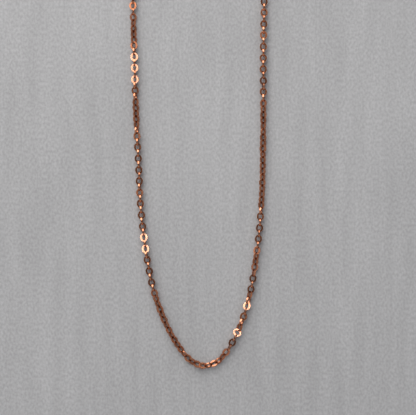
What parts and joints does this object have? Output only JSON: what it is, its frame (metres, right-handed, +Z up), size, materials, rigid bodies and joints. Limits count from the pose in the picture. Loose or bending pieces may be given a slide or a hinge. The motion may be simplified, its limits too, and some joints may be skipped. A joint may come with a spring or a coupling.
{
  "type": "chain necklace",
  "caption": "Fine flat-link cable chain necklace in rose-gold tone, laid in a narrow loop and undone, with a sprung lobster claw and a plain end ring.",
  "frame": {"origin": "middle of the laid necklace's length and width, on the surface that it lies on", "axes": "+Y from the front of the necklace towards its closure, +Z up from the surface, +X to the right seen from above with the closure at the top"},
  "size_m": [0.0498, 0.2127, 0.0042],
  "materials": {
    "rose_gold_wire": "polished",
    "rose_gold_cast": "polished",
    "spring_steel": "satin"
  },
  "bodies": {
    "front_run": {"front_run": "rose_gold_wire"},
    "left_run_01": {"left_run_01": "rose_gold_wire"},
    "left_run_02": {"left_run_02": "rose_gold_wire"},
    "left_run_03": {"left_run_03": "rose_gold_wire"},
    "left_run_04": {"left_run_04": "rose_gold_wire"},
    "left_run_05": {"left_run_05": "rose_gold_wire"},
    "left_run_06": {"left_run_06": "rose_gold_wire"},
    "left_run_07": {"left_run_07": "rose_gold_wire"},
    "left_run_08": {"left_run_08": "rose_gold_wire"},
    "left_run_09": {"left_run_09": "rose_gold_wire"},
    "left_run_10": {"left_run_10": "rose_gold_wire"},
    "left_run_11": {"left_run_11": "rose_gold_wire"},
    "left_run_12": {"left_run_12": "rose_gold_wire"},
    "left_run_13": {"left_run_13": "rose_gold_wire"},
    "left_run_14": {"left_run_14": "rose_gold_wire"},
    "left_run_15": {"left_run_15": "rose_gold_wire"},
    "left_run_16": {"left_run_16": "rose_gold_wire"},
    "left_run_17": {"left_run_17": "rose_gold_wire"},
    "left_run_18": {"left_run_18": "rose_gold_wire"},
    "left_run_19": {"left_run_19": "rose_gold_wire"},
    "left_run_20": {"left_run_20": "rose_gold_wire"},
    "left_run_21": {"left_run_21": "rose_gold_wire"},
    "right_run_01": {"right_run_01": "rose_gold_wire"},
    "right_run_02": {"right_run_02": "rose_gold_wire"},
    "right_run_03": {"right_run_03": "rose_gold_wire"},
    "right_run_04": {"right_run_04": "rose_gold_wire"},
    "right_run_05": {"right_run_05": "rose_gold_wire"},
    "right_run_06": {"right_run_06": "rose_gold_wire"},
    "right_run_07": {"right_run_07": "rose_gold_wire"},
    "right_run_08": {"right_run_08": "rose_gold_wire"},
    "right_run_09": {"right_run_09": "rose_gold_wire"},
    "right_run_10": {"right_run_10": "rose_gold_wire"},
    "right_run_11": {"right_run_11": "rose_gold_wire"},
    "right_run_12": {"right_run_12": "rose_gold_wire"},
    "right_run_13": {"right_run_13": "rose_gold_wire"},
    "right_run_14": {"right_run_14": "rose_gold_wire"},
    "right_run_15": {"right_run_15": "rose_gold_wire"},
    "right_run_16": {"right_run_16": "rose_gold_wire"},
    "right_run_17": {"right_run_17": "rose_gold_wire"},
    "right_run_18": {"right_run_18": "rose_gold_wire"},
    "right_run_19": {"right_run_19": "rose_gold_wire"},
    "right_run_20": {"right_run_20": "rose_gold_wire"},
    "right_run_21": {"right_run_21": "rose_gold_wire"},
    "clasp_jump_ring": {"clasp_jump_ring": "rose_gold_wire"},
    "clasp": {"clasp_body": "rose_gold_cast", "clasp_lever_pin": "rose_gold_cast", "clasp_lever_spring": "spring_steel"},
    "clasp_lever": {"clasp_lever": "rose_gold_cast"},
    "end_jump_ring": {"end_jump_ring": "rose_gold_wire"},
    "end_ring": {"end_ring": "rose_gold_cast"}
  },
  "joints": [
    {"name": "clasp_lever", "type": "hinge", "parent": "clasp", "child": "clasp_lever", "pos_m": [-0.00624, 0.10371, 0.0015], "axis": [0, 0, -1], "range_deg": [0, 18], "stiffness_Nm_per_rad": 0.005, "springref_deg": -8.59, "deforming": ["clasp_lever_spring"]},
    {"name": "clasp_lift", "type": "hinge", "parent": "clasp_jump_ring", "child": "clasp", "pos_m": [-0.0107, 0.10141, 0.0015], "axis": [0.2204, -0.9754, 0], "range_deg": [0, 28]},
    {"name": "clasp_swivel", "type": "hinge", "parent": "left_run_21", "child": "clasp_jump_ring", "pos_m": [-0.01151, 0.10042, 0.0013], "axis": [0, 0, 1], "range_deg": [-14, 14]},
    {"name": "end_ring_lift", "type": "hinge", "parent": "end_jump_ring", "child": "end_ring", "pos_m": [0.01098, 0.1008, 0.0013], "axis": [0.3864, 0.9223, 0], "range_deg": [0, 50]},
    {"name": "end_swivel", "type": "hinge", "parent": "right_run_21", "child": "end_jump_ring", "pos_m": [0.01189, 0.1002, 0.0013], "axis": [0, 0, 1], "range_deg": [-14, 14]},
    {"name": "left_hinge_01", "type": "hinge", "parent": "front_run", "child": "left_run_01", "pos_m": [-0.00282, -0.10355, 0.0011], "axis": [0.2481, 0.6973, -0.6725], "range_deg": [0, 55]},
    {"name": "right_hinge_01", "type": "hinge", "parent": "front_run", "child": "right_run_01", "pos_m": [0.00666, -0.10407, 0.0011], "axis": [0.5539, -0.4908, 0.6725], "range_deg": [0, 55]},
    {"name": "left_hinge_02", "type": "hinge", "parent": "left_run_01", "child": "left_run_02", "pos_m": [-0.00892, -0.09557, 0.0011], "axis": [0.4354, 0.5985, 0.6725], "range_deg": [0, 55]},
    {"name": "right_hinge_02", "type": "hinge", "parent": "right_run_01", "child": "right_run_02", "pos_m": [0.01263, -0.09598, 0.0013], "axis": [0.9801, -0.1986, 0], "range_deg": [0, 55]},
    {"name": "left_hinge_03", "type": "hinge", "parent": "left_run_02", "child": "left_run_03", "pos_m": [-0.01353, -0.08592, 0.0011], "axis": [0.5063, 0.5398, 0.6725], "range_deg": [0, 55]},
    {"name": "right_hinge_03", "type": "hinge", "parent": "right_run_02", "child": "right_run_03", "pos_m": [0.01643, -0.08666, 0.0013], "axis": [0.9999, -0.0101, 0], "range_deg": [0, 55]},
    {"name": "left_hinge_04", "type": "hinge", "parent": "left_run_03", "child": "left_run_04", "pos_m": [-0.01638, -0.07691, 0.0013], "axis": [0.8525, 0.5227, 0], "range_deg": [0, 55]},
    {"name": "right_hinge_04", "type": "hinge", "parent": "right_run_03", "child": "right_run_04", "pos_m": [0.01892, -0.0769, 0.0013], "axis": [0.9942, 0.1072, 0], "range_deg": [0, 55]},
    {"name": "left_hinge_05", "type": "hinge", "parent": "left_run_04", "child": "left_run_05", "pos_m": [-0.01848, -0.06642, 0.0013], "axis": [0.8883, 0.4592, 0], "range_deg": [0, 55]},
    {"name": "right_hinge_05", "type": "hinge", "parent": "right_run_04", "child": "right_run_05", "pos_m": [0.02037, -0.06755, 0.0011], "axis": [0.7075, 0.2173, -0.6725], "range_deg": [0, 55]},
    {"name": "left_hinge_06", "type": "hinge", "parent": "left_run_05", "child": "left_run_06", "pos_m": [-0.01981, -0.05705, 0.0013], "axis": [0.9119, 0.4105, 0], "range_deg": [0, 55]},
    {"name": "right_hinge_06", "type": "hinge", "parent": "right_run_05", "child": "right_run_06", "pos_m": [0.02158, -0.05754, 0.0013], "axis": [0.9761, 0.2172, 0], "range_deg": [0, 55]},
    {"name": "left_hinge_07", "type": "hinge", "parent": "left_run_06", "child": "left_run_07", "pos_m": [-0.02077, -0.0464, 0.0013], "axis": [0.9264, 0.3764, 0], "range_deg": [0, 55]},
    {"name": "right_hinge_07", "type": "hinge", "parent": "right_run_06", "child": "right_run_07", "pos_m": [0.02243, -0.04688, 0.0011], "axis": [0.6912, 0.2645, 0.6725], "range_deg": [0, 55]},
    {"name": "left_hinge_08", "type": "hinge", "parent": "left_run_07", "child": "left_run_08", "pos_m": [-0.0212, -0.03695, 0.0013], "axis": [0.9368, 0.3497, 0], "range_deg": [0, 55]},
    {"name": "right_hinge_08", "type": "hinge", "parent": "right_run_07", "child": "right_run_08", "pos_m": [0.02283, -0.0368, 0.0011], "axis": [0.6795, 0.2932, -0.6725], "range_deg": [0, 55]},
    {"name": "left_hinge_09", "type": "hinge", "parent": "left_run_08", "child": "left_run_09", "pos_m": [-0.02176, -0.02626, 0.0013], "axis": [0.932, 0.3625, 0], "range_deg": [0, 55]},
    {"name": "right_hinge_09", "type": "hinge", "parent": "right_run_08", "child": "right_run_09", "pos_m": [0.02298, -0.02672, 0.0011], "axis": [0.677, 0.299, 0.6725], "range_deg": [0, 55]},
    {"name": "left_hinge_10", "type": "hinge", "parent": "left_run_09", "child": "left_run_10", "pos_m": [-0.02224, -0.0162, 0.0011], "axis": [0.6594, 0.336, -0.6725], "range_deg": [0, 55]},
    {"name": "right_hinge_10", "type": "hinge", "parent": "right_run_09", "child": "right_run_10", "pos_m": [0.02308, -0.01726, 0.0011], "axis": [0.6743, 0.3051, 0.6725], "range_deg": [0, 55]},
    {"name": "left_hinge_11", "type": "hinge", "parent": "left_run_10", "child": "left_run_11", "pos_m": [-0.02258, -0.00612, 0.0013], "axis": [0.9413, 0.3376, 0], "range_deg": [0, 55]},
    {"name": "right_hinge_11", "type": "hinge", "parent": "right_run_10", "child": "right_run_11", "pos_m": [0.02309, -0.00656, 0.0013], "axis": [0.9494, 0.3141, 0], "range_deg": [0, 55]},
    {"name": "left_hinge_12", "type": "hinge", "parent": "left_run_11", "child": "left_run_12", "pos_m": [-0.02282, 0.00334, 0.0013], "axis": [0.9431, 0.3326, 0], "range_deg": [0, 55]},
    {"name": "right_hinge_12", "type": "hinge", "parent": "right_run_11", "child": "right_run_12", "pos_m": [0.02304, 0.0029, 0.0013], "axis": [0.9523, 0.3052, 0], "range_deg": [0, 55]},
    {"name": "left_hinge_13", "type": "hinge", "parent": "left_run_12", "child": "left_run_13", "pos_m": [-0.02312, 0.01403, 0.0011], "axis": [0.6628, 0.3294, 0.6725], "range_deg": [0, 55]},
    {"name": "right_hinge_13", "type": "hinge", "parent": "right_run_12", "child": "right_run_13", "pos_m": [0.02318, 0.01359, 0.0013], "axis": [0.9571, 0.2896, 0], "range_deg": [0, 55]},
    {"name": "left_hinge_14", "type": "hinge", "parent": "left_run_13", "child": "left_run_14", "pos_m": [-0.02337, 0.02411, 0.0013], "axis": [0.9453, 0.3262, 0], "range_deg": [0, 55]},
    {"name": "right_hinge_14", "type": "hinge", "parent": "right_run_13", "child": "right_run_14", "pos_m": [0.02336, 0.02305, 0.0013], "axis": [0.9542, 0.2992, 0], "range_deg": [0, 55]},
    {"name": "left_hinge_15", "type": "hinge", "parent": "left_run_14", "child": "left_run_15", "pos_m": [-0.02343, 0.03357, 0.0013], "axis": [0.9511, 0.309, 0], "range_deg": [0, 55]},
    {"name": "right_hinge_15", "type": "hinge", "parent": "right_run_14", "child": "right_run_15", "pos_m": [0.02342, 0.03313, 0.0013], "axis": [0.9512, 0.3085, 0], "range_deg": [0, 55]},
    {"name": "left_hinge_16", "type": "hinge", "parent": "left_run_15", "child": "left_run_16", "pos_m": [-0.02341, 0.04427, 0.0013], "axis": [0.9519, 0.3064, 0], "range_deg": [0, 55]},
    {"name": "right_hinge_16", "type": "hinge", "parent": "right_run_15", "child": "right_run_16", "pos_m": [0.02341, 0.04383, 0.0013], "axis": [0.9506, 0.3106, 0], "range_deg": [0, 55]},
    {"name": "left_hinge_17", "type": "hinge", "parent": "left_run_16", "child": "left_run_17", "pos_m": [-0.0234, 0.05373, 0.0013], "axis": [0.9486, 0.3166, 0], "range_deg": [0, 55]},
    {"name": "right_hinge_17", "type": "hinge", "parent": "right_run_16", "child": "right_run_17", "pos_m": [0.0234, 0.05329, 0.0013], "axis": [0.9531, 0.3025, 0], "range_deg": [0, 55]},
    {"name": "left_hinge_18", "type": "hinge", "parent": "left_run_17", "child": "left_run_18", "pos_m": [-0.02354, 0.06443, 0.0013], "axis": [0.946, 0.3241, 0], "range_deg": [0, 55]},
    {"name": "right_hinge_18", "type": "hinge", "parent": "right_run_17", "child": "right_run_18", "pos_m": [0.02354, 0.06399, 0.0013], "axis": [0.9559, 0.2938, 0], "range_deg": [0, 55]},
    {"name": "left_hinge_19", "type": "hinge", "parent": "left_run_18", "child": "left_run_19", "pos_m": [-0.02362, 0.07389, 0.0013], "axis": [0.9557, 0.2943, 0], "range_deg": [0, 55]},
    {"name": "right_hinge_19", "type": "hinge", "parent": "right_run_18", "child": "right_run_19", "pos_m": [0.02362, 0.07345, 0.0013], "axis": [0.9471, 0.321, 0], "range_deg": [0, 55]},
    {"name": "left_hinge_20", "type": "hinge", "parent": "left_run_19", "child": "left_run_20", "pos_m": [-0.02295, 0.08456, 0.0013], "axis": [0.9812, 0.1929, 0], "range_deg": [0, 55]},
    {"name": "right_hinge_20", "type": "hinge", "parent": "right_run_19", "child": "right_run_20", "pos_m": [0.02301, 0.08413, 0.0013], "axis": [0.9122, 0.4097, 0], "range_deg": [0, 55]},
    {"name": "left_hinge_21", "type": "hinge", "parent": "left_run_20", "child": "left_run_21", "pos_m": [-0.01934, 0.09325, 0.0013], "axis": [0.9425, -0.3341, 0], "range_deg": [0, 55]},
    {"name": "right_hinge_21", "type": "hinge", "parent": "right_run_20", "child": "right_run_21", "pos_m": [0.01959, 0.09288, 0.0013], "axis": [0.5823, 0.813, 0], "range_deg": [0, 55]}
  ]
}
